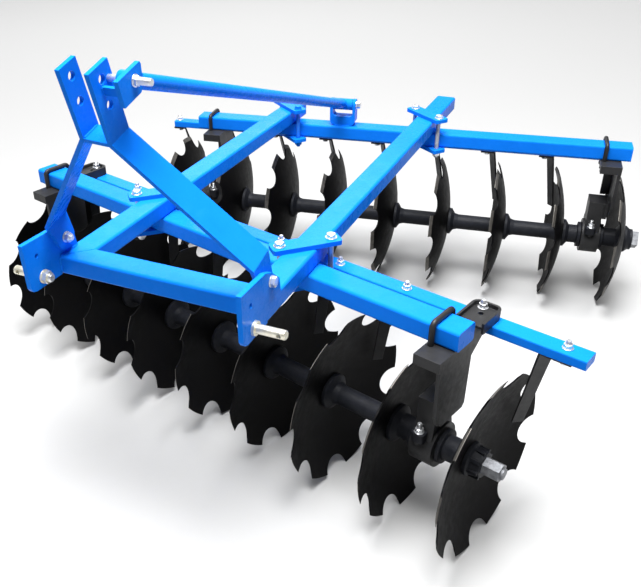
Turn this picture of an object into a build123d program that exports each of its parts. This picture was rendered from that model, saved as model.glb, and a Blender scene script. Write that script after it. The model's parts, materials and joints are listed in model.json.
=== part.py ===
from build123d import *
import os
from math import sin, cos, tan, radians, sqrt, hypot, atan2, degrees

os.makedirs("parts", exist_ok=True)

# Mounted disc harrow with two opposed gangs. Millimetres, +Z up, the tractor
# is towards -Y, the machine's left side is +X. The discs stand on Z = 0.

# ---------------------------------------------------------------- driving dimensions
DISC_R = 230.0            # notched disc, 460 mm across
DISC_T = 4.0
DISC_SPHERE = 560.0       # concave radius of curvature
DISC_FLAT_R = 52.0        # flat centre that the spools clamp
BEVEL = 13.0              # width of the ground edge
EDGE_T = 1.5
NOTCHES = 9
NOTCH_R = 43.0
NOTCH_C = 234.0           # radius of the circle that the notch centres lie on
PITCH = 200.5             # disc spacing along the shaft
N_DISC = 9
SHAFT = 30.0              # square gang shaft
SHAFT_HOLE = 30.5

RAIL_TOP = 619.0
TUBE_W, TUBE_H, TUBE_T, TUBE_R = 70.0, 48.0, 5.0, 7.0
RAIL_X = 250.5            # rail centre lines
LEFT_RAIL_END = 1594.0
RIGHT_RAIL_END = 1338.0
CAP_T = 5.0

FRONT_ANGLE, FRONT_Y = 15.6, 309.3      # front gang angle and where its beam crosses X = 0
FRONT_S = (-823.0, 711.5)               # beam ends along its own direction
REAR_ANGLE, REAR_Y = 8.5, 1293.6
REAR_S = (-602.5, 934.0)
FRONT_DISC_0 = 755.0      # flat centre of the first disc along the front beam
REAR_DISC_0 = 638.0       # the same on the rear beam, measured the other way
FRONT_MID = (657.0, -762.0)             # standards along the front beam
REAR_MID = (-545.0, 858.0)

PLATE_X = (273.5, 285.5)  # hitch plates
PIN_Y, PIN_Z = -97.6, -23.0
PIN_D, PIN_OUT = 22.0, 75.0
LINK_HOLE_D = 19.5
MAST_GAP, MAST_T, MAST_W = 58.0, 10.0, 62.0
RIGHT_BAR_U = (-27.0, 26.0)   # the right mast bar is a little narrower

HOUSING_L, HOUSING_R, JOURNAL_R = 60.0, 58.0, 30.0
RUN_CLEAR = 0.05

# the middle of the base of the whole machine is the origin
SHIFT = (-67.434, -721.476)

BEAM_TOP = RAIL_TOP - TUBE_H
BEAM_BOT = BEAM_TOP - TUBE_H

aF, aR = radians(FRONT_ANGLE), radians(REAR_ANGLE)
PF = Plane(origin=(0, FRONT_Y, 0), x_dir=(cos(aF), -sin(aF), 0), z_dir=(0, 0, 1))    # x along beam, y rearward
PR = Plane(origin=(0, REAR_Y, 0), x_dir=(cos(aR), sin(aR), 0), z_dir=(0, 0, 1))
PG = Plane(origin=(0, REAR_Y, 0), x_dir=(-cos(aR), -sin(aR), 0), z_dir=(0, 0, 1))    # rear gang, turned half round


def solids_of(things):
    out = []
    for t in things:
        if isinstance(t, (list, tuple)):
            out += solids_of(t)
        else:
            out += list(t.solids())
    return out


ALL = []


def save(name, *things):
    sol = [Pos(SHIFT[0], SHIFT[1], 0) * s for s in solids_of(things)]
    ALL.extend(sol)
    export_step(sol[0] if len(sol) == 1 else Compound(sol), f"parts/{name}.step")


def block(x0, x1, y0, y1, z0, z1):
    return Pos((x0 + x1) / 2, (y0 + y1) / 2, (z0 + z1) / 2) * Box(x1 - x0, y1 - y0, z1 - z0)


def prism_x(pts, x0, x1):
    """outline in (y, z), from x0 to x1"""
    pl = Plane(origin=(x0, 0, 0), x_dir=(0, 1, 0), z_dir=(1, 0, 0))
    return pl * extrude(make_face(Polyline(*pts, close=True)), amount=x1 - x0)


def prism_z(pts, z0, z1):
    return Pos(0, 0, z0) * extrude(make_face(Polyline(*pts, close=True)), amount=z1 - z0)


def prism_y(pts, y0, y1):
    """outline in (x, z), from y0 to y1"""
    pl = Plane(origin=(0, y1, 0), x_dir=(1, 0, 0), z_dir=(0, -1, 0))
    return pl * extrude(make_face(Polyline(*pts, close=True)), amount=y1 - y0)


def rod(a, b, r):
    a, b = Vector(*a), Vector(*b)
    d = b - a
    return Plane(origin=a, z_dir=d) * Cylinder(r, d.length, align=(Align.CENTER, Align.CENTER, Align.MIN))


def turned(pts):
    """profile in (along X, radius), turned about X"""
    return revolve(make_face(Polyline(*pts, close=True)), Axis.X, 360)


def tube_x(x0, x1, w, h, t, r):
    """rectangular tube along X: w across Y, h across Z, centred"""
    sk = RectangleRounded(w, h, r) - RectangleRounded(w - 2 * t, h - 2 * t, max(r - t, 1.0))
    pl = Plane(origin=(x0, 0, 0), x_dir=(0, 1, 0), z_dir=(1, 0, 0))
    return pl * extrude(sk, amount=x1 - x0)


def bar_plate(quad, t):
    """flat bar through four points in one plane, t thick about that plane"""
    p = [Vector(*q) for q in quad]
    n = (p[1] - p[0]).cross(p[3] - p[0]).normalized()
    f = make_face(Polyline(*[tuple(v - n * (t / 2)) for v in p], close=True))
    return extrude(f, amount=t, dir=tuple(n))


# ---------------------------------------------------------------- frame
zr = RAIL_TOP - TUBE_H / 2
zb = BEAM_TOP - TUBE_H / 2
half = TUBE_W / 2
x_out = RAIL_X + half

bar = Pos(0, 0, zr) * tube_x(-x_out, x_out, TUBE_W, TUBE_H, TUBE_T, TUBE_R)
big = 400.0


def mitre_wedge(sign):
    """the corner outside the 45 degree joint between hitch bar and rail"""
    c = sign * RAIL_X
    return prism_z([(c - sign * big, big), (c + sign * big, -big), (c + sign * big, big)], zr - 100, zr + 100)


bar = bar - mitre_wedge(1) - mitre_wedge(-1)
save("hitch_bar", bar)


def rail(sign, end):
    r = Plane(origin=(sign * RAIL_X, 0, zr), x_dir=(0, 1, 0), z_dir=(0, 0, 1)) * tube_x(-half, end, TUBE_W, TUBE_H, TUBE_T, TUBE_R)
    c = sign * RAIL_X
    cut = prism_z([(c - sign * big, big), (c - sign * big, -big), (c + sign * big, -big)], zr - 100, zr + 100)
    return r - cut


save("left_rail", rail(1, LEFT_RAIL_END - CAP_T))
save("right_rail", rail(-1, RIGHT_RAIL_END - CAP_T))
save("front_gang_beam", PF * (Pos(0, 0, zb) * tube_x(FRONT_S[0] + CAP_T, FRONT_S[1] - CAP_T, TUBE_W, TUBE_H, TUBE_T, TUBE_R)))
save("rear_gang_beam", PR * (Pos(0, 0, zb) * tube_x(REAR_S[0] + CAP_T, REAR_S[1] - CAP_T, TUBE_W, TUBE_H, TUBE_T, TUBE_R)))


def cap(x0):
    pl = Plane(origin=(x0, 0, 0), x_dir=(0, 1, 0), z_dir=(1, 0, 0))
    return pl * extrude(RectangleRounded(TUBE_W, TUBE_H, TUBE_R), amount=CAP_T)


caps = []
for sign, end in ((1, LEFT_RAIL_END), (-1, RIGHT_RAIL_END)):
    caps.append(Plane(origin=(sign * RAIL_X, 0, zr), x_dir=(0, 1, 0), z_dir=(0, 0, 1)) * cap(end - CAP_T))
for pl, (s0, s1) in ((PF, FRONT_S), (PR, REAR_S)):
    caps.append(pl * (Pos(0, 0, zb) * cap(s0)))
    caps.append(pl * (Pos(0, 0, zb) * cap(s1 - CAP_T)))
save("tube_end_caps", caps)

# ---------------------------------------------------------------- rail to beam clamps
CL_T, CL_L, CL_W, CL_BOLT = 12.0, 178.0, 50.0, 14.0
# the two bolts of each clamp stand in opposite corners of the crossing
CLAMPS = (((205.0, 201.0), (302.0, 293.0)), ((-299.0, 336.0), (-203.0, 424.0)),
          ((303.0, 1293.0), (196.0, 1374.0)), ((-195.0, 1217.0), (-300.0, 1300.0)))
up, low, cbolts = [], [], []
for (ax, ay), (bx, by) in CLAMPS:
    c = ((ax + bx) / 2, (ay + by) / 2)
    turn = degrees(atan2(by - ay, bx - ax))
    reach = hypot(bx - ax, by - ay) / 2
    sk = RectangleRounded(CL_L, CL_W, 9) - Pos(reach, 0) * Circle(CL_BOLT / 2 + 0.5) - Pos(-reach, 0) * Circle(CL_BOLT / 2 + 0.5)
    up.append(Pos(c[0], c[1], RAIL_TOP) * Rot(0, 0, turn) * extrude(sk, amount=CL_T))
    low.append(Pos(c[0], c[1], BEAM_BOT - CL_T) * Rot(0, 0, turn) * extrude(sk, amount=CL_T))
    for x, y in ((ax, ay), (bx, by)):
        cbolts.append(rod((x, y, BEAM_BOT - CL_T - 20), (x, y, RAIL_TOP + CL_T + 6), CL_BOLT / 2))
save("upper_clamp_plates", up)
save("lower_clamp_plates", low)
save("clamp_bolts", cbolts)

# ---------------------------------------------------------------- lower hitch
plate_outline = [(-149, 79), (-38, 76), (-8, 64), (30, 31), (36, -5), (-35, -5), (-35, -48), (-128, -48), (-140, -44), (-146, -34)]


def hitch_plate(sign):
    pts = [(y, z + RAIL_TOP) for y, z in plate_outline]
    x0, x1 = PLATE_X if sign > 0 else (-PLATE_X[1], -PLATE_X[0])
    p = prism_x(pts, x0, x1)
    # its foot follows the rounded corners of the tubes that it stands on
    c = sign * RAIL_X
    section = RectangleRounded(TUBE_W, TUBE_H, TUBE_R)
    along = Plane(origin=(-x_out, 0, zr), x_dir=(0, 1, 0), z_dir=(1, 0, 0)) * extrude(section, amount=2 * x_out)
    back = Plane(origin=(c, -half, zr), x_dir=(-1, 0, 0), z_dir=(0, 1, 0)) * extrude(section, amount=300)
    p -= along - mitre_wedge(sign)
    p -= back - prism_z([(c - sign * big, big), (c - sign * big, -big), (c + sign * big, -big)], zr - 100, zr + 100)
    for y, z, r in ((PIN_Y, PIN_Z, PIN_D / 2 + 0.1), (-11, 44, 8.5), (-109, 37, 6.0)):
        p -= rod((x0 - 5, y, z + RAIL_TOP), (x1 + 5, y, z + RAIL_TOP), r)
    return p


save("left_hitch_plate", hitch_plate(1))
save("right_hitch_plate", hitch_plate(-1))


def hitch_pin(sign):
    y, z = PIN_Y, PIN_Z + RAIL_TOP
    a, b = PLATE_X
    p = rod((sign * (a - 18), y, z), (sign * (b + PIN_OUT), y, z), PIN_D / 2)
    p += rod((sign * b, y, z), (sign * (b + 7), y, z), 17)
    nut = extrude(RegularPolygon(14 / cos(radians(30)), 6), amount=16)
    p += Plane(origin=(sign * a, y, z), x_dir=(0, 1, 0), z_dir=(-sign, 0, 0)) * nut
    p -= rod((sign * (b + PIN_OUT - 14), y - 30, z), (sign * (b + PIN_OUT - 14), y + 30, z), 5.5)
    e = p.edges().filter_by(GeomType.CIRCLE).sort_by(Axis.X)
    tip = e[-1] if sign > 0 else e[0]
    return chamfer(tip, 2.5)


save("lower_hitch_pins", hitch_pin(1), hitch_pin(-1))

# ---------------------------------------------------------------- mast
lean = radians(15.6)
MAST_Y, MAST_Z = -143.7, RAIL_TOP + 374.5
PM = Plane(origin=(0, MAST_Y, MAST_Z), x_dir=(1, 0, 0), z_dir=(0, -sin(lean), cos(lean)))   # y = across the bar, z = along it
MAST_L = 148.0
HOLES_V = (70.0, 122.0)
BRACE_U, BRACE_V, BRACE_PIN_R = 18.5, 115.0, 7.0


def mast_bar(sign):
    xm = sign * (MAST_GAP / 2 + MAST_T / 2)
    u0, u1 = (-MAST_W / 2, MAST_W / 2) if sign > 0 else RIGHT_BAR_U
    upper = PM * block(xm - MAST_T / 2, xm + MAST_T / 2, u0, u1, 0, MAST_L)
    t1 = PM.from_local_coords(Vector(xm, u0, 0))
    t2 = PM.from_local_coords(Vector(xm, u1, 0))
    xf = sign * (PLATE_X[0] - MAST_T / 2)
    b1 = Vector(xf, -66, RAIL_TOP + 89)
    n = (t2 - t1).cross(b1 - t1)
    yb = 4.0
    zb2 = t1.Z - ((xf - t1.X) * n.X + (yb - t1.Y) * n.Y) / n.Z
    b2 = Vector(xf, yb, zb2)
    leg = bar_plate([tuple(t1), tuple(t2), tuple(b2), tuple(b1)], MAST_T)
    # foot against the inner face of the hitch plate, rounded about its bolt
    fc = (-11.0, RAIL_TOP + 44.0)
    foot = prism_x([(b1.Y, b1.Z), (b2.Y, b2.Z), (fc[0] + 31, fc[1] + 4), (fc[0] - 29, fc[1] - 10)], xf - MAST_T / 2, xf + MAST_T / 2)
    foot += rod((xf - MAST_T / 2, *fc), (xf + MAST_T / 2, *fc), 31.0)
    m = upper + leg + foot + rod(tuple(t1), tuple(t2), MAST_T / 2) + rod(tuple(b1), tuple(b2), MAST_T / 2)
    for v in HOLES_V:
        a, b = PM.from_local_coords(Vector(xm - 20, 0, v)), PM.from_local_coords(Vector(xm + 20, 0, v))
        m -= rod(tuple(a), tuple(b), LINK_HOLE_D / 2)
    m -= rod((xf - 20, *fc), (xf + 20, *fc), 8.5)
    if sign > 0:
        a, b = PM.from_local_coords(Vector(xm - 20, BRACE_U, BRACE_V)), PM.from_local_coords(Vector(xm + 20, BRACE_U, BRACE_V))
        m -= rod(tuple(a), tuple(b), BRACE_PIN_R + 0.1)
    return m


save("mast_left_bar", mast_bar(1))
save("mast_right_bar", mast_bar(-1))
save("mast_tie_plate", PM * prism_z([(-MAST_GAP / 2, RIGHT_BAR_U[0]), (MAST_GAP / 2, -MAST_W / 2), (MAST_GAP / 2, 23), (-MAST_GAP / 2, 23)], -4, 4))

EAR_X = (86.0, 96.0)
mx = MAST_GAP / 2 + MAST_T
pl_u = Plane(origin=(EAR_X[0], 0, 0), x_dir=(0, 1, 0), z_dir=(1, 0, 0))
ear = pl_u * extrude(make_face(Polyline((-28, 86), (-28, 138), (46, 138), (48, 132), (40, 100), (28, 86), close=True)), amount=EAR_X[1] - EAR_X[0])
# web below the brace eye carries the ear on the left mast bar
ear += block(mx, EAR_X[0] + 2, -8, -1, 94, 111)
ear -= rod((mx + 5, BRACE_U, BRACE_V), (EAR_X[1] + 10, BRACE_U, BRACE_V), BRACE_PIN_R + 0.1)
save("brace_ear", PM * ear)

# ---------------------------------------------------------------- top brace
EYE_X, LUG_X = 66.0, (66.0, 84.0)      # middle of the tube; flat lug at its front end
front_eye = PM.from_local_coords(Vector(EYE_X, BRACE_U, BRACE_V))
REAR_EYE_S, REAR_EYE_Z, BR_GAP, BR_T = -46.0, RAIL_TOP + 26.0, 72.0, 10.0
rear_eye = PR.from_local_coords(Vector(REAR_EYE_S, 0, REAR_EYE_Z))
TUBE_OD = 32.0
dirv = (rear_eye - front_eye).normalized()
tube = rod(tuple(front_eye + dirv * 22), tuple(rear_eye - dirv * 6), TUBE_OD / 2)
eye1 = rod((LUG_X[0], front_eye.Y, front_eye.Z), (LUG_X[1], front_eye.Y, front_eye.Z), 17.0)
fall = atan2(dirv.Z, dirv.Y)
lug = [(front_eye.Y + cos(fall) * i - sin(fall) * j, front_eye.Z + sin(fall) * i + cos(fall) * j) for i, j in ((0, -14), (42, -14), (42, 14), (0, 14))]
eye1 += prism_x(lug, LUG_X[0], LUG_X[1])
eye2 = PR * rod((REAR_EYE_S - BR_GAP / 2 + 1.5, 0, REAR_EYE_Z), (REAR_EYE_S + BR_GAP / 2 - 1.5, 0, REAR_EYE_Z), 20.0)
brace = tube + eye1 + eye2
brace -= rod((front_eye.X - 60, front_eye.Y, front_eye.Z), (front_eye.X + 60, front_eye.Y, front_eye.Z), BRACE_PIN_R + 0.1)
brace -= PR * rod((REAR_EYE_S - 60, 0, REAR_EYE_Z), (REAR_EYE_S + 60, 0, REAR_EYE_Z), BRACE_PIN_R + 0.1)
save("brace_tube", brace)
pin1 = rod((MAST_GAP / 2, front_eye.Y, front_eye.Z), (EAR_X[1] + 36, front_eye.Y, front_eye.Z), BRACE_PIN_R)
pin2 = PR * rod((REAR_EYE_S - BR_GAP / 2 - BR_T - 14, 0, REAR_EYE_Z), (REAR_EYE_S + BR_GAP / 2 + BR_T + 14, 0, REAR_EYE_Z), BRACE_PIN_R)
save("brace_pins", pin1, pin2)

# a strap bent to a U: two arms and a rounded bottom on top of the beam
BR_D = 21.0
xo, xi, zo = BR_GAP / 2 + BR_T, BR_GAP / 2, BEAM_TOP
out_u = Pos(0, 60) * RectangleRounded(2 * xo, 120, 22)
in_u = Pos(0, 60 + 34) * RectangleRounded(2 * xi, 120, 10)
strap = extrude(out_u - in_u - Pos(0, 140) * Rectangle(200, 2 * (140 - (REAR_EYE_Z - zo))), amount=2 * BR_D)
br = Plane(origin=(REAR_EYE_S, BR_D, zo), x_dir=(1, 0, 0), z_dir=(0, -1, 0)) * strap
for k in (-1, 1):
    xa = REAR_EYE_S + k * (BR_GAP / 2 + BR_T / 2)
    br += rod((xa - BR_T / 2, 0, REAR_EYE_Z), (xa + BR_T / 2, 0, REAR_EYE_Z), BR_D)
br -= rod((REAR_EYE_S - 80, 0, REAR_EYE_Z), (REAR_EYE_S + 80, 0, REAR_EYE_Z), BRACE_PIN_R + 0.1)
save("brace_bracket", PR * br)

# ---------------------------------------------------------------- standards, bearings, U-bolts
AXIS_Z = DISC_R
ST_T = 10.0
TOP_T = 12.0
UB_R = 7.0
UB_Y = half + UB_R + 0.3
UB_S = -6.0
ST_F, ST_B = -88.0, 52.0        # front and rear edges of the standard
WEB_S = (38.0, 48.0)            # web, from the middle of the standard
TOP_S = (-18.0, 48.0)
TRAY_FLOOR, TRAY_TOP = 540.0, 556.0   # bracket over the front scraper bar


def standard(mid, rear_reach, ear_up):
    z1 = BEAM_BOT
    s = block(mid + TOP_S[0], mid + TOP_S[1], ST_F, rear_reach, z1 - TOP_T, z1)
    web = [(ST_F, z1 - 1), (ST_F + 4, 372), (ST_F + 14, 344), (ST_F + 34, 334), (ST_B - 16, 330), (ST_B - 6, 340), (ST_B, z1 - 1)]
    s += prism_x(web, mid + WEB_S[0], mid + WEB_S[1])
    # the front of the top plate is folded down and back under itself
    s += block(mid + TOP_S[0], mid + TOP_S[1], ST_F - 5, ST_F + 1, z1 - 26, z1)
    s += block(mid + TOP_S[0], mid + TOP_S[1], ST_F - 5, ST_F + 22, z1 - 26, z1 - 20)
    if ear_up:
        s += prism_x([(ST_B - 2, 470), (ST_B - 2, z1 - 2), (47, z1 - 2), (47, TRAY_FLOOR), (98, TRAY_FLOOR), (98, 506)], mid + WEB_S[0], mid + WEB_S[1])
    for y0, y1 in ((ST_B - 8.0, ST_B),):
        s += prism_y([(mid + WEB_S[0] - 26, z1 - 1), (mid + WEB_S[0] + 1, z1 - 1), (mid + WEB_S[0] + 1, 372), (mid + WEB_S[0] - 26, 372)], y0, y1)
    for k in (-1, 1):
        s -= rod((mid + UB_S, k * UB_Y, z1 - 40), (mid + UB_S, k * UB_Y, z1 + 10), UB_R + 0.4)
    return s


def u_bolt(mid):
    zt = BEAM_TOP + UB_R + 0.3
    path = FilletPolyline((mid + UB_S, -UB_Y, BEAM_BOT - 40), (mid + UB_S, -UB_Y, zt), (mid + UB_S, UB_Y, zt), (mid + UB_S, UB_Y, BEAM_BOT - 40), radius=12)
    return sweep(Plane(origin=(mid + UB_S, -UB_Y, BEAM_BOT - 40), z_dir=(0, 0, 1)) * Circle(UB_R), path=path)


def housing(mid):
    h = rod((mid - HOUSING_L / 2, 0, AXIS_Z), (mid + HOUSING_L / 2, 0, AXIS_Z), HOUSING_R)
    h += prism_x([(-52, AXIS_Z + 10), (52, AXIS_Z + 10), (36, AXIS_Z + 80), (36, AXIS_Z + 142), (-40, AXIS_Z + 142), (-40, AXIS_Z + 80)], mid - 24, mid + 24)
    h += block(mid + 20, mid + WEB_S[0], -40, 36, AXIS_Z + 84, AXIS_Z + 142)
    h -= rod((mid - 60, 0, AXIS_Z), (mid + 60, 0, AXIS_Z), JOURNAL_R + RUN_CLEAR)
    return h


BAR_T = 3.0
FB_Y, FB_Z = (99.0, 148.0), (504.0, 529.0)     # front scraper bar
RB_Y, RB_Z = (64.0, 108.0), (BEAM_BOT - TOP_T - 25.0, BEAM_BOT - TOP_T)
FB_S = (-770.0, 937.0)
RB_S = (-750.0, 905.0)

for tag, pl, mids, reach, up_ear in (("front", PF, FRONT_MID, 60.0, True), ("rear", PR, REAR_MID, 114.0, False)):
    sides = ("left", "right") if mids[0] > 0 else ("right", "left")
    for side, mid in zip(sides, mids):
        save(f"{tag}_{side}_standard", pl * standard(mid, reach, up_ear))
    save(f"{tag}_bearing_housings", [pl * housing(m) for m in mids])
    save(f"{tag}_u_bolts", [pl * u_bolt(m) for m in mids])


def scraper_bar(ys, zs, ss):
    w, h = ys[1] - ys[0], zs[1] - zs[0]
    b = tube_x(ss[0], ss[1], w, h, BAR_T, 4.0)
    for x in ss:
        x0 = x if x == ss[0] else x - 3
        b += block(x0, x0 + 3, -w / 2 + 2, w / 2 - 2, -h / 2 + 2, h / 2 - 2)
    return Pos(0, (ys[0] + ys[1]) / 2, (zs[0] + zs[1]) / 2) * b


save("front_scraper_bar", PF * scraper_bar(FB_Y, FB_Z, FB_S))
save("rear_scraper_bar", PR * scraper_bar(RB_Y, RB_Z, RB_S))


def tray(mid):
    """bracket over the scraper bar: a floor between two deep side walls, rounded at the back"""
    s0, s1, y0, y1 = mid - 4, mid + 66, 56.0, 148.0
    outer = Pos((s0 + s1) / 2, (y0 + y1) / 2 - 20) * RectangleRounded(s1 - s0, y1 - y0 + 40, 18)
    inner = Pos((s0 + s1) / 2, (y0 + y1) / 2 - 20) * RectangleRounded(s1 - s0 - 12, y1 - y0 + 28, 12)
    t = Pos(0, 0, FB_Z[1]) * extrude(outer, amount=TRAY_TOP - FB_Z[1])
    t -= Pos(0, 0, TRAY_FLOOR + 6) * extrude(inner, amount=40)
    t -= Pos(0, 0, FB_Z[1] - 1) * extrude(inner, amount=TRAY_FLOOR - FB_Z[1] + 1)
    t -= block(s0 - 50, s1 + 50, y0 - 80, y0, 480, 620)
    t -= rod((mid + 22, 134, 500), (mid + 22, 134, 600), 6.5)
    t -= rod((mid + 31, 108, 500), (mid + 31, 108, 600), 6)
    return t


save("scraper_bar_brackets", [PF * tray(m) for m in FRONT_MID])


def scraper(rim, k, bolt_off, arm_off, ys, z_bar):
    """flat arm under the bar, bent down to the hollow side of the disc; k = which way the hollow faces along the beam"""
    yc = (ys[0] + ys[1]) / 2
    w, t = 38.0, 6.0
    sb, sa, st = rim + k * bolt_off, rim + k * arm_off, rim - k * 7.0
    q0 = radians(30.0) * k
    e = Vector(sin(q0), cos(q0), 0) * (w / 2)
    far = sb + k * 20
    top = prism_z([(far, yc - w / 2), (far, yc + w / 2), (sa + e.X, yc + e.Y), (sa - e.X, yc - e.Y)], z_bar - t, z_bar)
    a = Vector(sa, yc, z_bar - t / 2)
    b = Vector(st, 145.0, 268.0)
    d = b - a
    faces = []
    for f, tw, th, wide in ((0.0, 30.0, t, w), (0.22, 36.0, t, 33.0), (1.0, 42.0, t * 0.75, 27.0)):
        q = radians(tw) * k
        faces.append(Plane(origin=a + d * f, x_dir=(sin(q), cos(q), 0), z_dir=(0, 0, -1)) * Rectangle(wide, th))
    arm = loft(faces[:2], ruled=True) + loft(faces[1:], ruled=True)
    return top + arm + rod((sa - e.X, yc - e.Y, z_bar - t / 2), (sa + e.X, yc + e.Y, z_bar - t / 2), t / 2)


sag_rim = DISC_T + sqrt(DISC_SPHERE ** 2 - DISC_FLAT_R ** 2) - sqrt(DISC_SPHERE ** 2 - DISC_R ** 2)
front_rims = [FRONT_DISC_0 + sag_rim - PITCH * i for i in range(N_DISC)]
rear_rims = [-(REAR_DISC_0 + sag_rim - PITCH * i) for i in range(N_DISC)]
save("front_scrapers", [PF * scraper(r, 1, 79.0, 37.0, FB_Y, FB_Z[0]) for r in front_rims])
save("rear_scrapers", [PR * scraper(r, -1, 45.0, 26.0, RB_Y, RB_Z[0]) for r in rear_rims])

# ---------------------------------------------------------------- gangs
xc = DISC_T + sqrt(DISC_SPHERE ** 2 - DISC_FLAT_R ** 2)


def on_cave(r):
    return xc - sqrt(DISC_SPHERE ** 2 - r * r)


def on_back(r):
    return xc - sqrt((DISC_SPHERE + DISC_T) ** 2 - r * r)


def disc(turn):
    rb = DISC_R - BEVEL
    r0 = DISC_FLAT_R
    rm1, rm2 = (r0 + rb) / 2, (r0 + DISC_R) / 2
    x_back0 = on_back(r0)
    edges = [
        Line((0, 0), (DISC_T, 0)),
        Line((DISC_T, 0), (DISC_T, r0)),
        ThreePointArc((DISC_T, r0), (on_cave(rm2), rm2), (on_cave(DISC_R), DISC_R)),
        Line((on_cave(DISC_R), DISC_R), (on_cave(DISC_R) - EDGE_T, DISC_R)),
        Line((on_cave(DISC_R) - EDGE_T, DISC_R), (on_back(rb), rb)),
        ThreePointArc((on_back(rb), rb), (on_back(rm1), rm1), (x_back0, r0)),
        Line((x_back0, r0), (0, r0 - 2)),
        Line((0, r0 - 2), (0, 0)),
    ]
    d = revolve(make_face(edges), Axis.X, 360)
    d -= Box(60, SHAFT_HOLE, SHAFT_HOLE)
    for i in range(NOTCHES):
        a = radians(360.0 * i / NOTCHES)
        d -= rod((-20, NOTCH_C * cos(a), NOTCH_C * sin(a)), (90, NOTCH_C * cos(a), NOTCH_C * sin(a)), NOTCH_R)
    return Rot(turn, 0, 0) * d


def spool(x0, x1):
    p = [(x0, 0), (x0, 48), (x0 + 9, 48), (x0 + 20, 31), (x0 + 34, 27), (x1 - 34, 27), (x1 - 20, 31), (x1 - 9, 48), (x1, 48), (x1, 0)]
    s = turned(p)
    return s - Pos((x0 + x1) / 2, 0, 0) * Box(x1 - x0 + 20, SHAFT_HOLE, SHAFT_HOLE)


def bearing_spool(x0, x1, mid):
    a, b = mid - HOUSING_L / 2 - 2.0, mid + HOUSING_L / 2 + 2.0
    p = [(x0, 0), (x0, 48), (x0 + 9, 48), (x0 + 20, 32), (a - 12, 32), (a - 10, 44), (a, 44), (a, JOURNAL_R), (b, JOURNAL_R), (b, 44), (b + 10, 44), (b + 12, 32),
         (x1 - 20, 32), (x1 - 9, 48), (x1, 48), (x1, 0)]
    s = turned(p)
    return s - Pos((x0 + x1) / 2, 0, 0) * Box(x1 - x0 + 20, SHAFT_HOLE, SHAFT_HOLE)


# notch positions: the square shaft lets each disc sit at one of four quarter turns
QUARTER = {"front": (1, 3, 0, 3, 2, 0, 2, 0, 1), "rear": (0, 3, 1, 3, 2, 0, 1, 2, 3)}

for tag, pl, c0, mids, phase in (("front", PF, FRONT_DISC_0, FRONT_MID, 38.5), ("rear", PG, REAR_DISC_0, [-m for m in REAR_MID], 38.0)):
    up_axis = Pos(0, 0, AXIS_Z)
    cs = [c0 - PITCH * i for i in range(N_DISC)]
    turns = [90.0 * q for q in QUARTER[tag]]
    # a notch at angle A from the forward horizontal, measured upwards
    base = Rot(180.0 - phase if tag == "front" else phase, 0, 0)
    save(f"{tag}_discs", [pl * (up_axis * base * Pos(c, 0, 0) * disc(t)) for c, t in zip(cs, turns)])
    plain, brg = [], []
    for i in range(N_DISC - 1):
        x0, x1 = cs[i + 1] + DISC_T, cs[i]
        inside = [m for m in mids if x0 < m < x1]
        if inside:
            brg.append(bearing_spool(x0, x1, inside[0]))
        else:
            plain.append(spool(x0, x1))
    save(f"{tag}_spools", [pl * (up_axis * base * s) for s in plain])
    save(f"{tag}_bearing_spools", [pl * (up_axis * base * s) for s in brg])
    xa, xb = cs[-1], cs[0] + DISC_T
    # hollow-side washer is deep and ribbed, back washer is plain
    w1 = turned([(xb, 0), (xb, 42), (xb + 8, 42), (xb + 13, 36), (xb + 38, 31), (xb + 38, 0)])
    for i in range(8):
        a = radians(45.0 * i)
        w1 += Rot(degrees(a), 0, 0) * block(xb + 6, xb + 36, 27, 38, -4, 4)
    w1 -= Pos(xb, 0, 0) * Box(200, SHAFT_HOLE, SHAFT_HOLE)
    w2 = turned([(xa, 0), (xa, 46), (xa - 10, 46), (xa - 22, 36), (xa - 30, 36), (xa - 30, 0)]) - Pos(xa, 0, 0) * Box(200, SHAFT_HOLE, SHAFT_HOLE)
    save(f"{tag}_end_washers", pl * (up_axis * base * w1), pl * (up_axis * base * w2))
    x_nut = xb + 38
    x_head = xa - 30
    nut = Plane(origin=(x_nut, 0, 0), x_dir=(0, 1, 0), z_dir=(1, 0, 0)) * extrude(RegularPolygon(20 / cos(radians(30)), 6) - Circle(14.1), amount=42)
    save(f"{tag}_end_nut", pl * (up_axis * base * nut))
    sh = block(x_head, x_nut, -SHAFT / 2, SHAFT / 2, -SHAFT / 2, SHAFT / 2)
    sh += rod((x_nut, 0, 0), (x_nut + 48, 0, 0), 14.0)
    sh += block(x_head - 20, x_head, -24, 24, -24, 24)
    save(f"{tag}_gang_shaft", pl * (up_axis * base * sh))

bb = Compound(ALL).bounding_box()
print("box", [round(v, 2) for v in (bb.min.X, bb.min.Y, bb.min.Z, bb.max.X, bb.max.Y, bb.max.Z)], "centre", round((bb.min.X + bb.max.X) / 2, 3), round((bb.min.Y + bb.max.Y) / 2, 3))
for tag, pl, m in (("front", PF, 0), ("rear", PR, 0)):
    o = pl.from_local_coords(Vector(0, 0, AXIS_Z))
    print(tag, "axis through", [round(v, 3) for v in (o.X + SHIFT[0], o.Y + SHIFT[1], o.Z)], "along", [round(v, 6) for v in tuple(pl.x_dir)])
for v in HOLES_V:
    h = PM.from_local_coords(Vector(0, 0, v))
    print("top link hole", round(h.X + SHIFT[0], 3), round(h.Y + SHIFT[1], 3), round(h.Z, 3))
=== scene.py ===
import bpy
import json
import math
from mathutils import Matrix, Vector


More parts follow.
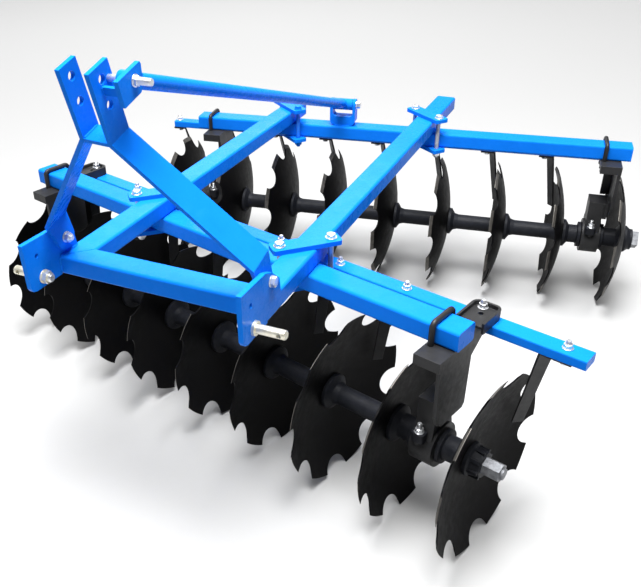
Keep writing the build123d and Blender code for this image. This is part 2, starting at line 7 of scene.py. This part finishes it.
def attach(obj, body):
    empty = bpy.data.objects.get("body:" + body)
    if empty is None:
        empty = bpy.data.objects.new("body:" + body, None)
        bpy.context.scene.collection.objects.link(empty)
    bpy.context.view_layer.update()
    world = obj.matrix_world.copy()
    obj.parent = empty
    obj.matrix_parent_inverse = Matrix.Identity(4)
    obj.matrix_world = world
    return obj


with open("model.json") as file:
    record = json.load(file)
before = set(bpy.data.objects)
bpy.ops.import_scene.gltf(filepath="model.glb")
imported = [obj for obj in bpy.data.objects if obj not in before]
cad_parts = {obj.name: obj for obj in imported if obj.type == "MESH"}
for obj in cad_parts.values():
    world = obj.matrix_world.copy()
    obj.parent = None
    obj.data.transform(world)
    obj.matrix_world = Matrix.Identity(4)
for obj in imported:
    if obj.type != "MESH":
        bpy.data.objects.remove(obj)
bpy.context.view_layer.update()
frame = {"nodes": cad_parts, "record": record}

NODES = frame["nodes"]
scene = bpy.context.scene

# ------------------------------------------------------------------ shared frame of the part, millimetres to metres
MM = 0.001
SX, SY = -67.434, -721.476
RAIL_TOP = 619.0
BEAM_TOP, BEAM_BOT = RAIL_TOP - 48.0, RAIL_TOP - 96.0
aF, aR, lean = math.radians(15.6), math.radians(8.5), math.radians(15.6)
cF, sF, cR, sR = math.cos(aF), math.sin(aF), math.cos(aR), math.sin(aR)
cL, sL = math.cos(lean), math.sin(lean)
UP, DOWN = Vector((0, 0, 1)), Vector((0, 0, -1))
LEFT = Vector((1, 0, 0))
DF, DR = Vector((cF, -sF, 0)), Vector((cR, sR, 0))
FRONT_MID, REAR_MID = (657.0, -762.0), (-545.0, 858.0)
FRONT_RIMS = [755.0 + 50.99 - 200.5 * i for i in range(9)]
REAR_RIMS = [-(638.0 + 50.99 - 200.5 * i) for i in range(9)]


def W(x, y, z):
    return Vector(((x + SX) * MM, (y + SY) * MM, z * MM))


def F(s, r, z):
    """along the front beam, behind its centre line, above the ground"""
    return W(s * cF + r * sF, 309.3 - s * sF + r * cF, z)


def R(s, r, z):
    """the same on the rear beam"""
    return W(s * cR - r * sR, 1293.6 + s * sR + r * cR, z)


def T(x, u, v):
    """mast plane: u across the bars, v along them"""
    return W(x, -143.7 + u * cL - v * sL, RAIL_TOP + 374.5 + u * sL + v * cL)


# ------------------------------------------------------------------ camera
az, el, roll = math.radians(26.729), math.radians(31.175), math.radians(-1.706)
back = Vector((math.sin(az) * math.cos(el), -math.cos(az) * math.cos(el), math.sin(el)))
right = Vector((math.cos(az), math.sin(az), 0))
upv = back.cross(right)
c, s = math.cos(roll), math.sin(roll)
r2, u2 = right * c + upv * s, upv * c - right * s
cam_data = bpy.data.cameras.new("camera")
cam = bpy.data.objects.new("camera", cam_data)
scene.collection.objects.link(cam)
m = Matrix((r2, u2, back)).transposed().to_4x4()
m.translation = W(916.74, -1287.84, 855.19 + RAIL_TOP)
cam.matrix_world = m
cam_data.sensor_fit = "HORIZONTAL"
cam_data.sensor_width = 36.0
cam_data.lens = 766.17 / 641.0 * 36.0
cam_data.shift_x = (320.5 - 267.02) / 641.0
cam_data.shift_y = (301.57 - 293.5) / 641.0
cam_data.clip_start, cam_data.clip_end = 0.05, 60.0
cam_data.dof.use_dof = False
scene.camera = cam

# ------------------------------------------------------------------ floor and light
me = bpy.data.meshes.new("floor")
me.from_pydata([(-30, -30, 0), (30, -30, 0), (30, 30, 0), (-30, 30, 0)], [], [(0, 1, 2, 3)])
floor = bpy.data.objects.new("floor", me)
scene.collection.objects.link(floor)
fm = bpy.data.materials.new("floor")
fm.use_nodes = True
fb = fm.node_tree.nodes["Principled BSDF"]
fb.inputs["Base Color"].default_value = (0.37, 0.37, 0.37, 1)
fb.inputs["Roughness"].default_value = 0.95
fb.inputs["Specular IOR Level"].default_value = 0.1
me.materials.append(fm)

world = bpy.data.worlds.new("world")
world.use_nodes = True
scene.world = world
world.node_tree.nodes["Background"].inputs["Color"].default_value = (1, 1, 1, 1)
world.node_tree.nodes["Background"].inputs["Strength"].default_value = 0.12


def lamp(kind, name, loc, target, energy, size):
    d = bpy.data.lights.new(name, kind)
    d.energy = energy
    if kind == "SUN":
        d.angle = size
    else:
        d.shape = "DISK"
        d.size = size
    o = bpy.data.objects.new(name, d)
    scene.collection.objects.link(o)
    o.location = loc
    o.rotation_mode = "QUATERNION"
    o.rotation_quaternion = (Vector(target) - Vector(loc)).to_track_quat("-Z", "Y")
    return o


lamp("SUN", "overhead", (0.1, -0.2, 5.0), (0, 0, 0), 5.4, math.radians(50))
lamp("AREA", "key", (0.25, -0.75, 3.6), (0.25, -0.6, 0.5), 215, 1.8)
lamp("AREA", "back_softbox", (-2.9, 5.0, 4.4), (0.1, -0.4, 0.6), 150, 4.5)
scene.view_settings.view_transform = "Standard"


# ------------------------------------------------------------------ material kit
def node(nt, kind, **kw):
    n = nt.nodes.new(kind)
    for k, v in kw.items():
        setattr(n, k, v)
    return n


def put(nt, socket, value):
    if isinstance(value, bpy.types.NodeSocket):
        nt.links.new(value, socket)
    else:
        socket.default_value = value


def calc(nt, op, a, b=0.0, clamp=False):
    n = node(nt, "ShaderNodeMath", operation=op, use_clamp=clamp)
    put(nt, n.inputs[0], a)
    put(nt, n.inputs[1], b)
    return n.outputs[0]


def vec(nt, op, a, b):
    n = node(nt, "ShaderNodeVectorMath", operation=op)
    put(nt, n.inputs[0], a)
    put(nt, n.inputs[1], b)
    return n.outputs["Value"] if op in ("DOT_PRODUCT", "LENGTH") else n.outputs["Vector"]


def noise(nt, co, scale, detail=4.0, rough=0.55):
    n = node(nt, "ShaderNodeTexNoise")
    n.inputs["Scale"].default_value = scale
    n.inputs["Detail"].default_value = detail
    n.inputs["Roughness"].default_value = rough
    nt.links.new(co, n.inputs["Vector"])
    return n.outputs["Fac"]


def stretch(nt, co, scale):
    n = node(nt, "ShaderNodeMapping")
    n.inputs["Scale"].default_value = scale
    nt.links.new(co, n.inputs["Vector"])
    return n.outputs["Vector"]


def span(nt, value, a, b, lo=0.0, hi=1.0):
    n = node(nt, "ShaderNodeMapRange")
    n.clamp = True
    nt.links.new(value, n.inputs["Value"])
    for k, v in zip(("From Min", "From Max", "To Min", "To Max"), (a, b, lo, hi)):
        n.inputs[k].default_value = v
    return n.outputs["Result"]


def blend(nt, fac, a, b):
    n = node(nt, "ShaderNodeMix", data_type="RGBA")
    put(nt, n.inputs["Factor"], fac)
    ins = [i for i in n.inputs if i.type == "RGBA"]
    for sock, v in zip(ins, (a, b)):
        put(nt, sock, v if isinstance(v, bpy.types.NodeSocket) else (*v, 1.0))
    return [o for o in n.outputs if o.type == "RGBA"][0]


def start(name):
    mt = bpy.data.materials.new(name)
    mt.use_nodes = True
    nt = mt.node_tree
    b = nt.nodes["Principled BSDF"]
    co = node(nt, "ShaderNodeTexCoord").outputs["Object"]
    return mt, nt, b, co


def round_edges(nt, radius):
    n = node(nt, "ShaderNodeBevel", samples=4)
    n.inputs["Radius"].default_value = radius
    return n.outputs["Normal"]


def edge_mask(nt, soft, lo=0.015, hi=0.22):
    """1 on sharp outer edges, from how far the rounded normal turns away from the flat one"""
    g = node(nt, "ShaderNodeNewGeometry").outputs["True Normal"]
    d = vec(nt, "DOT_PRODUCT", soft, g)
    return span(nt, calc(nt, "SUBTRACT", 1.0, d), lo, hi)


def bump(nt, height, strength, distance, normal=None):
    n = node(nt, "ShaderNodeBump")
    n.inputs["Strength"].default_value = strength
    n.inputs["Distance"].default_value = distance
    nt.links.new(height, n.inputs["Height"])
    if normal is not None:
        nt.links.new(normal, n.inputs["Normal"])
    return n.outputs["Normal"]


def blue_shell(nt, co):
    """colour and roughness of the sprayed enamel"""
    broad, mid, fine = noise(nt, co, 2.4, 3), noise(nt, co, 38, 4), noise(nt, co, 260, 3)
    col = blend(nt, span(nt, broad, 0.3, 0.7), (0.0040, 0.150, 0.68), (0.0058, 0.178, 0.76))
    col = blend(nt, span(nt, mid, 0.45, 0.75, 0.0, 0.22), col, (0.0025, 0.126, 0.62))
    scuff = noise(nt, stretch(nt, co, (3, 1.5, 3)), 9, 5, 0.7)
    col = blend(nt, span(nt, scuff, 0.58, 0.74, 0.0, 0.16), col, (0.02, 0.22, 0.88))
    rough = calc(nt, "ADD", span(nt, mid, 0.3, 0.7, 0.22, 0.33), span(nt, scuff, 0.56, 0.74, 0.0, 0.12))
    return col, rough, mid, fine


# ------------------------------------------------------------------ materials
def make_blue():
    mt, nt, b, co = start("blue_enamel")
    col, rough, mid, fine = blue_shell(nt, co)
    soft = round_edges(nt, 0.0016)
    edge = edge_mask(nt, soft)
    chips = calc(nt, "MULTIPLY", edge, span(nt, noise(nt, co, 120, 5, 0.7), 0.60, 0.68))
    # painted highlight: every sharp outer edge gets a lighter blue base colour, unlike the chips below which are
    # wear
    col = blend(nt, calc(nt, "MULTIPLY", edge, 0.12), col, (0.01, 0.22, 0.92))
    col = blend(nt, calc(nt, "MULTIPLY", chips, 0.55), col, (0.05, 0.10, 0.22))
    put(nt, b.inputs["Base Color"], col)
    put(nt, b.inputs["Roughness"], rough)
    b.inputs["Specular IOR Level"].default_value = 0.05
    b.inputs["Specular Tint"].default_value = (0.1, 0.5, 1.0, 1.0)
    h = calc(nt, "ADD", calc(nt, "MULTIPLY", fine, 0.08), calc(nt, "MULTIPLY", mid, 0.5))
    put(nt, b.inputs["Normal"], bump(nt, h, 0.03, 0.0012))
    return mt


def make_black():
    mt, nt, b, co = start("black_paint")
    broad, mid, fine = noise(nt, co, 7, 4), noise(nt, co, 60, 5, 0.6), noise(nt, co, 420, 3)
    col = blend(nt, span(nt, broad, 0.3, 0.7), (0.0105, 0.0108, 0.0118), (0.0185, 0.0185, 0.0195))
    scratch = noise(nt, stretch(nt, co, (50, 50, 7)), 12, 6, 0.75)
    col = blend(nt, span(nt, scratch, 0.62, 0.72, 0.0, 0.5), col, (0.04, 0.039, 0.038))
    soft = round_edges(nt, 0.0015)
    edge = edge_mask(nt, soft)
    worn = calc(nt, "MULTIPLY", edge, span(nt, mid, 0.42, 0.66))
    col = blend(nt, calc(nt, "MULTIPLY", worn, 0.55), col, (0.16, 0.155, 0.15))
    put(nt, b.inputs["Base Color"], col)
    put(nt, b.inputs["Roughness"], span(nt, mid, 0.3, 0.75, 0.38, 0.58))
    b.inputs["Specular IOR Level"].default_value = 0.3
    h = calc(nt, "ADD", calc(nt, "MULTIPLY", fine, 0.5), mid)
    put(nt, b.inputs["Normal"], bump(nt, h, 0.2, 0.0012, soft))
    return mt


def make_casting():
    mt, nt, b, co = start("black_casting")
    mid, fine = noise(nt, co, 45, 5, 0.6), noise(nt, co, 330, 4, 0.65)
    col = blend(nt, span(nt, mid, 0.3, 0.7), (0.0065, 0.0075, 0.0105), (0.0135, 0.0145, 0.0185))
    soft = round_edges(nt, 0.0022)
    edge = edge_mask(nt, soft)
    col = blend(nt, calc(nt, "MULTIPLY", edge, span(nt, mid, 0.45, 0.7, 0.0, 0.4)), col, (0.09, 0.09, 0.092))
    put(nt, b.inputs["Base Color"], col)
    put(nt, b.inputs["Roughness"], span(nt, fine, 0.3, 0.7, 0.42, 0.66))
    b.inputs["Specular IOR Level"].default_value = 0.15
    h = calc(nt, "ADD", calc(nt, "MULTIPLY", fine, 0.8), mid)
    put(nt, b.inputs["Normal"], bump(nt, h, 0.45, 0.0018, soft))
    return mt


def make_disc(name, through, along):
    """black disc steel with a ground outer bevel; the bevel is found by distance from the gang's axis"""
    mt, nt, b, co = start(name)
    rel = vec(nt, "SUBTRACT", co, tuple(through))
    rad = vec(nt, "LENGTH", vec(nt, "CROSS_PRODUCT", rel, tuple(along)), (0, 0, 0))
    g = node(nt, "ShaderNodeNewGeometry").outputs["True Normal"]
    facing = vec(nt, "DOT_PRODUCT", g, tuple(along))
    broad, mid, fine = noise(nt, co, 6, 4), noise(nt, co, 48, 5, 0.62), noise(nt, co, 380, 3)
    col = blend(nt, span(nt, broad, 0.3, 0.7), (0.0020, 0.0020, 0.0026), (0.0040, 0.0039, 0.0040))
    col = blend(nt, span(nt, mid, 0.52, 0.74, 0.0, 0.5), col, (0.0074, 0.0070, 0.0066))
    wobble = calc(nt, "ADD", rad, span(nt, mid, 0.3, 0.7, -0.0012, 0.0012))
    on_bevel = calc(nt, "MULTIPLY", span(nt, wobble, 0.2166, 0.2182), span(nt, facing, -0.45, -0.3, 1.0, 0.0))
    rim = span(nt, rad, 0.2293, 0.2297)
    ground = calc(nt, "MULTIPLY", on_bevel, span(nt, mid, 0.35, 0.65, 0.35, 0.8))
    bare = calc(nt, "MAXIMUM", ground, calc(nt, "MULTIPLY", rim, span(nt, broad, 0.35, 0.6, 0.35, 0.95)))
    col = blend(nt, bare, col, (0.17, 0.16, 0.145))
    put(nt, b.inputs["Base Color"], col)
    put(nt, b.inputs["Metallic"], calc(nt, "MULTIPLY", bare, 0.8))
    put(nt, b.inputs["Roughness"], span(nt, mid, 0.3, 0.7, 0.40, 0.56))
    b.inputs["Specular IOR Level"].default_value = 0.04
    put(nt, b.inputs["Normal"], bump(nt, calc(nt, "ADD", fine, mid), 0.16, 0.0012))
    return mt


def make_zinc(name, low, high, rough_lo, rough_hi, blue_clamp=False):
    mt, nt, b, co = start(name)
    mid, fine = noise(nt, co, 70, 4), noise(nt, co, 520, 3)
    brushed = noise(nt, stretch(nt, co, (300, 300, 40)), 4, 4)
    col = blend(nt, span(nt, calc(nt, "ADD", calc(nt, "MULTIPLY", mid, 0.6), calc(nt, "MULTIPLY", brushed, 0.4)), 0.3, 0.7), low, high)
    soft = round_edges(nt, 0.0008)
    metal = 0.85
    rough = span(nt, mid, 0.3, 0.7, rough_lo, rough_hi)
    if blue_clamp:
        # the rods of one rear clamp were sprayed over with the frame
        sep = node(nt, "ShaderNodeSeparateXYZ")
        nt.links.new(co, sep.inputs[0])
        over = calc(nt, "MULTIPLY", span(nt, sep.outputs["X"], -0.0670, -0.0676), span(nt, sep.outputs["Y"], 0.4280, 0.4290))
        bcol = blue_shell(nt, co)[0]
        col = blend(nt, over, col, bcol)
        put(nt, b.inputs["Metallic"], span(nt, over, 0.0, 1.0, 0.4, 0.0))
    else:
        b.inputs["Metallic"].default_value = metal
    put(nt, b.inputs["Base Color"], col)
    put(nt, b.inputs["Roughness"], rough)
    put(nt, b.inputs["Normal"], bump(nt, calc(nt, "ADD", fine, brushed), 0.10, 0.0006, soft))
    return mt


def make_galvanised():
    mt, nt, b, co = start("galvanised_steel")
    v = node(nt, "ShaderNodeTexVoronoi")
    v.inputs["Scale"].default_value = 240
    nt.links.new(co, v.inputs["Vector"])
    mid, fine = noise(nt, co, 90, 5, 0.65), noise(nt, co, 420, 4)
    col = blend(nt, span(nt, mid, 0.32, 0.68), (0.10, 0.105, 0.115), (0.27, 0.275, 0.29))
    col = blend(nt, span(nt, v.outputs["Distance"], 0.1, 0.75, 0.0, 0.35), col, (0.18, 0.19, 0.205))
    soft = round_edges(nt, 0.0012)
    put(nt, b.inputs["Base Color"], col)
    put(nt, b.inputs["Roughness"], span(nt, fine, 0.3, 0.7, 0.42, 0.62))
    b.inputs["Metallic"].default_value = 0.55
    put(nt, b.inputs["Normal"], bump(nt, calc(nt, "ADD", fine, mid), 0.3, 0.0012, soft))
    return mt


BLUE, BLACK, CAST = make_blue(), make_black(), make_casting()
DISC_F = make_disc("disc_black_front", W(0, 309.3, 230), DF)
DISC_R = make_disc("disc_black_rear", W(0, 1293.6, 230), -DR)
ZINC = make_zinc("zinc_plate", (0.62, 0.64, 0.67), (0.90, 0.91, 0.92), 0.24, 0.40)
ZINC_ROD = make_zinc("zinc_rod", (0.30, 0.31, 0.33), (0.60, 0.61, 0.63), 0.26, 0.42, blue_clamp=True)
ZINC_PIN = make_zinc("pale_zinc", (0.70, 0.66, 0.52), (0.93, 0.91, 0.80), 0.28, 0.44)
GALV = make_galvanised()

SLOT = {"blue_paint": BLUE, "black_paint": BLACK, "black_casting": CAST, "bare_steel": GALV, "zinc_steel": ZINC}
OWN = {"front_discs": DISC_F, "rear_discs": DISC_R, "lower_hitch_pins": ZINC_PIN, "clamp_bolts": ZINC_ROD}
for sp in frame["record"]["subparts"]:
    o = NODES[sp["node"]]
    o.data.materials.clear()
    o.data.materials.append(OWN.get(sp["node"]) or SLOT[sp["material_slot"]])


# ------------------------------------------------------------------ mesh kit
class Kit:
    def __init__(self):
        self.v, self.f, self.smooth = [], [], []

    def add(self, verts, faces, smooth):
        k = len(self.v)
        self.v += verts
        self.f += [tuple(i + k for i in f) for f in faces]
        self.smooth += [smooth] * len(faces)

    def piece(self, name, body, slot, mat):
        me = bpy.data.meshes.new(name)
        me.from_pydata([tuple(p) for p in self.v], [], self.f)
        me.polygons.foreach_set("use_smooth", self.smooth)
        me.materials.append(mat)
        me.validate()
        me.update()
        o = bpy.data.objects.new(name, me)
        scene.collection.objects.link(o)
        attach(o, body)
        return o


def axes(d, spin=0.0):
    d = Vector(d).normalized()
    a = Vector((0, 0, 1)) if abs(d.z) < 0.9 else Vector((1, 0, 0))
    x = (a - d * a.dot(d)).normalized()
    y = d.cross(x)
    c, s = math.cos(spin), math.sin(spin)
    return x * c + y * s, y * c - x * s, d


def rings(kit, o, d, levels, smooth, spin=0.0):
    """skins a stack of rings; each level is a list of (radius, height) samples round the axis, or one (0, height) point"""
    x, y, z = axes(d, spin)
    n = max(len(l) for l in levels)
    verts, index, faces = [], [], []
    for l in levels:
        if len(l) == 1:
            index.append([len(verts)] * n)
            verts.append(o + z * (l[0][1] * MM))
        else:
            index.append(list(range(len(verts), len(verts) + n)))
            for i, (r, h) in enumerate(l):
                t = 2 * math.pi * i / n
                verts.append(o + (x * math.cos(t) + y * math.sin(t)) * (r * MM) + z * (h * MM))
    for a, b in zip(index, index[1:]):
        for i in range(n):
            j = (i + 1) % n
            q = [a[i], a[j], b[j], b[i]]
            q = [p for k, p in enumerate(q) if p not in q[:k]]
            if len(q) > 2:
                faces.append(tuple(q))
    kit.add(verts, faces, smooth)


def lathe(kit, o, d, prof, n=28, smooth=True, spin=0.0):
    rings(kit, o, d, [[(r, h)] * n if r > 0 else [(0, h)] for r, h in prof], smooth, spin)


def hexed(kit, o, d, af, h, spin=0.0, both=False, crown=0.0):
    """hexagon with the round chamfer of a turned bolt head or nut"""
    n, a = 48, af / 2.0
    rh, low, top = [], [], []
    for i in range(n):
        t = math.radians(360.0 * i / n)
        t = (t + math.pi / 6) % (math.pi / 3) - math.pi / 6
        r = a / math.cos(t)
        drop = (r - a * 0.94) * 0.55
        rh.append(r)
        top.append((r, h - drop))
        low.append((r, drop if both else 0.0))
    levels = [[(0, 0)], [(a * 0.94, 0.0)] * n, low, top, [(a * 0.94, h)] * n]
    if crown:
        levels += [[(a * 0.7, h + crown * 0.6)] * n, [(0, h + crown)]]
    else:
        levels.append([(0, h)])
    rings(kit, o, d, levels, False, spin)


def washer(kit, o, d, r, t):
    e = min(0.5, t * 0.3)
    lathe(kit, o, d, [(0, 0), (r - e, 0), (r, e), (r, t - e), (r - e, t), (0, t)], 32, False)


def thread(kit, o, d, r, length, pitch=1.75):
    prof = [(r * 0.88, 0.0)]
    k = int((length - 1.2) / pitch)
    for i in range(k):
        prof += [(r, pitch * (i + 0.45)), (r * 0.885, pitch * (i + 1.0))]
    prof += [(r * 0.86, length - 0.9), (r * 0.74, length), (0, length)]
    lathe(kit, o, d, prof, 20, False)


def head(kit, p, d, af, h, wr, wt, spin, crown=0.0):
    d = Vector(d)
    if wt:
        washer(kit, p, d, wr, wt)
    hexed(kit, p + d * (wt * MM), d, af, h, spin, False, crown)


def nut(kit, p, d, af, h, r, stick, wr, wt, spin):
    d = Vector(d)
    if wt:
        washer(kit, p, d, wr, wt)
    hexed(kit, p + d * (wt * MM), d, af, h, spin, True)
    if stick:
        thread(kit, p + d * ((wt + h) * MM), d, r, stick)


def bead(kit, pts, r, flat=None, squash=1.0):
    """weld run: overlapping ripples along a path"""
    path = [pts[0]]
    for a, b in zip(pts, pts[1:]):
        k = max(1, int((b - a).length / 0.0013))
        path += [a.lerp(b, (i + 1) / k) for i in range(k)]
    verts, faces, seg, run = [], [], 8, 0.0
    for i, p in enumerate(path):
        q0, q1 = path[max(i - 1, 0)], path[min(i + 1, len(path) - 1)]
        t = (q1 - q0).normalized()
        run += (p - q0).length if i else 0.0
        x, y, _ = axes(t)
        if flat is not None:
            y = Vector(flat).normalized()
            x = y.cross(t).normalized()
        ph = (run / 0.0046) % 1.0
        rr = r * MM * (0.86 + 0.2 * math.sqrt(max(0.0, 1 - (1.6 * (ph - 0.35)) ** 2)) + 0.05 * math.sin(run * 410.0) + 0.04 * math.sin(run * 977.0 + 1.3))
        if i in (0, len(path) - 1):
            rr *= 0.45
        off = x * (0.25 * MM * math.sin(run * 530.0))
        for j in range(seg):
            a = 2 * math.pi * j / seg
            verts.append(p + off + x * (math.cos(a) * rr) + y * (math.sin(a) * rr * squash))
    for i in range(len(path) - 1):
        for j in range(seg):
            k = (j + 1) % seg
            faces.append((i * seg + j, i * seg + k, (i + 1) * seg + k, (i + 1) * seg + j))
    faces.append(tuple(reversed(range(seg))))
    last = (len(path) - 1) * seg
    faces.append(tuple(range(last, last + seg)))
    kit.add(verts, faces, True)


def rounded_block(kit, o, ex, ey, ez, size, r):
    """block with rounded vertical corners and a chamfered top and bottom, centred on o"""
    hx, hy, hz = (v / 2 for v in size)
    out = []
    for cx, cy, a0 in ((hx - r, hy - r, 0), (-hx + r, hy - r, 90), (-hx + r, -hy + r, 180), (hx - r, -hy + r, 270)):
        for i in range(7):
            a = math.radians(a0 + 15 * i)
            out.append((cx, cy, math.cos(a), math.sin(a)))
    n = len(out)
    verts, faces = [], []
    for dz, g in ((-hz, r - 1.4), (-hz + 1.4, r), (hz - 1.4, r), (hz, r - 1.4)):
        for cx, cy, a, b in out:
            verts.append(o + ex * ((cx + a * g) * MM) + ey * ((cy + b * g) * MM) + ez * (dz * MM))
    for l in range(3):
        for i in range(n):
            j = (i + 1) % n
            faces.append((l * n + i, l * n + j, (l + 1) * n + j, (l + 1) * n + i))
    faces.append(tuple(reversed(range(n))))
    faces.append(tuple(range(3 * n, 4 * n)))
    kit.add(verts, faces, False)


# ------------------------------------------------------------------ fasteners
zinc, pale, dark, sprayed = Kit(), Kit(), Kit(), Kit()
turn = 0.0


def spin():
    """each fastener stops at its own angle"""
    global turn
    turn += 0.83
    return turn


# rail to beam clamps: heads above, nuts below
CLAMPS = (((205.0, 201.0), (302.0, 293.0)), ((-299.0, 336.0), (-203.0, 424.0)),
          ((303.0, 1293.0), (196.0, 1374.0)), ((-195.0, 1217.0), (-300.0, 1300.0)))
for i, pair in enumerate(CLAMPS):
    for x, y in pair:
        kit = sprayed if i == 3 else zinc
        head(kit, W(x, y, RAIL_TOP + 12), UP, 22, 8.5, 15, 2.5, spin(), 0.8)
        nut(kit, W(x, y, BEAM_BOT - 12), DOWN, 22, 11.5, 7.4, 7.0, 15, 2.5, spin())

# U-bolt legs under the standards
for fn, mids in ((F, FRONT_MID), (R, REAR_MID)):
    for mid in mids:
        for k in (-1, 1):
            nut(dark, fn(mid - 6.0, k * 42.3, BEAM_BOT - 12), DOWN, 21, 11.5, 7.5, 14.6, 13.5, 2.5, spin())

# scrapers: nut and thread end above the bar, head under the arm
for i, rim in enumerate(FRONT_RIMS):
    s, r, top = rim + 79.0, 123.5, 529.0
    for mid in FRONT_MID:
        if mid - 4 < s < mid + 66:
            s, r, top = mid + 22.0, 134.0, 546.0
    nut(zinc, F(s, r, top), UP, 18, 9.5, 6.0, 9.0, 12.5, 2.0, spin())
    head(zinc, F(s, r, 498.0), DOWN, 18, 7.5, 12.5, 2.0, spin())
for i, rim in enumerate(REAR_RIMS):
    s, r, top = rim - 45.0, 86.0, 511.0
    for mid in REAR_MID:
        if mid - 28 < s < mid + 48:
            top = 523.0
    nut(zinc, R(s, r, top), UP, 18, 9.5, 6.0, 9.0, 12.5, 2.0, spin())
    head(zinc, R(s, r, 480.0), DOWN, 18, 7.5, 12.5, 2.0, spin())

# mast feet: heads outside the hitch plates, nuts inside
for k in (-1, 1):
    out, inn = LEFT * k, LEFT * -k
    head(zinc, W(k * 285.5, -11, RAIL_TOP + 44), out, 22, 10, 14, 2.0, spin(), 0.8)
    nut(zinc, W(k * 263.5, -11, RAIL_TOP + 44), inn, 22, 11, 8.0, 6.0, 14, 2.0, spin())
    # lower hitch pins: spread washer under the inner nut, threaded end beyond it
    washer(pale, W(k * 273.5, -97.6, RAIL_TOP - 23), inn, 17.5, 3.2)
    thread(zinc, W(k * 257.4, -97.6, RAIL_TOP - 23), inn, 10.6, 9.0, 2.2)

# brace bolts
fe = T(0, 18.5, 115.0)
fe = Vector((0, fe.y, fe.z))
sx = SX * MM
washer(zinc, Vector((sx + 0.096, fe.y, fe.z)), LEFT, 12, 2.5)
hexed(zinc, Vector((sx + 0.0985, fe.y, fe.z)), LEFT, 18, 6.5, spin(), True)
thread(zinc, Vector((sx + 0.105, fe.y, fe.z)), LEFT, 7.5, 27.8, 2.0)
head(zinc, R(0.0, 0, RAIL_TOP + 26), DR, 22, 12.5, 15, 2.5, spin(), 0.6)
nut(zinc, R(-92.0, 0, RAIL_TOP + 26), -DR, 22, 11.0, 7.4, 3.0, 15, 2.5, spin())

# bearing caps are drawn together by upright bolts beside the shaft
lugs = Kit()
for fn, mids, d in ((F, FRONT_MID, DF), (R, REAR_MID, DR)):
    across = Vector((-d.y, d.x, 0))
    for mid in mids:
        for k in (-1, 1):
            rounded_block(lugs, fn(mid - 6, k * 52, 273), d, across, UP, (34, 30, 26), 9)
            nut(zinc, fn(mid - 6, k * 55, 286), UP, 18, 10, 6.0, 14.0, 12, 2.0, spin())
            head(dark, fn(mid - 6, k * 55, 260), DOWN, 18, 7.5, 0, 0, spin())

zinc.piece("zinc_fasteners", "frame", "zinc_steel", ZINC)
pale.piece("hitch_pin_washers", "frame", "zinc_steel", ZINC_PIN)
dark.piece("u_bolt_nuts", "frame", "black_paint", BLACK)
sprayed.piece("sprayed_clamp_fasteners", "frame", "blue_paint", BLUE)
lugs.piece("bearing_cap_lugs", "frame", "black_casting", CAST)

# ------------------------------------------------------------------ welds
weld = Kit()
for k in (-1, 1):
    xi = k * 272.7
    bead(weld, [W(xi, -33, 619.6), W(xi, 31, 619.6)], 3.0)
    bead(weld, [W(xi, -35.6, 577), W(xi, -35.6, 616)], 3.2)
    bead(weld, [W(k * 219, 31.5, 618.7), W(k * 268, -17.5, 618.7)], 3.0, UP, 0.5)
    bead(weld, [W(k * 215.2, 35.2, 577), W(k * 215.2, 35.2, 613)], 2.8)
    bead(weld, [T(k * 28.6, -25, 4.2), T(k * 28.6, 21, 4.2)], 2.6)
    bead(weld, [T(k * 28.6, -25, -4.2), T(k * 28.6, 21, -4.2)], 2.4)
bead(weld, [T(39.4, -8.2, 95), T(39.4, -8.2, 110)], 2.2)
bead(weld, [T(85.6, -8.2, 95), T(85.6, -8.2, 110)], 2.2)
for k in (-1, 1):
    bead(weld, [R(-72, k * 21.4, 571.6), R(-20, k * 21.4, 571.6)], 2.8)
rear = R(-46.0, 0, RAIL_TOP + 26)
front = Vector((sx + 0.066, fe.y, fe.z))
run = (rear - front).normalized()
for p, d, off in ((rear, -run, 0.0212),):
    x, y, _ = axes(d)
    ring = [p + d * off + (x * math.cos(t) + y * math.sin(t)) * 0.0158 for t in [2 * math.pi * i / 28 for i in range(29)]]
    bead(weld, ring, 2.6)
end = front + run * 0.022
for xw in (0.0658, 0.0842):
    bead(weld, [Vector((sx + xw, end.y - 0.0008, end.z - 0.0125)), Vector((sx + xw, end.y - 0.0008, end.z + 0.0125))], 2.0)
weld.piece("frame_welds", "frame", "blue_paint", BLUE)

black_weld = Kit()
for fn, mids in ((F, FRONT_MID), (R, REAR_MID)):
    for mid in mids:
        bead(black_weld, [fn(mid + 37.4, -78, 510.4), fn(mid + 37.4, 42, 510.4)], 3.0)
        bead(black_weld, [fn(mid + 37.4, -38, 372.6), fn(mid + 37.4, 34, 372.6)], 3.0)
        bead(black_weld, [fn(mid + 24.6, -41, 316), fn(mid + 24.6, -41, 370)], 2.6)
black_weld.piece("standard_welds", "frame", "black_paint", BLACK)

# ------------------------------------------------------------------ thread on the gang shafts' ends
for tag, fn, d, c0 in (("front", F, DF, 755.0), ("rear", R, -DR, 638.0)):
    k = Kit()
    xn = c0 + 4.0 + 38.0
    p = fn(xn + 42.0, 0, 230.0) if tag == "front" else fn(-(xn + 42.0), 0, 230.0)
    thread(k, p, d, 15.0, 6.8, 2.0)
    k.piece(tag + "_shaft_thread", tag + "_gang", "bare_steel", GALV)
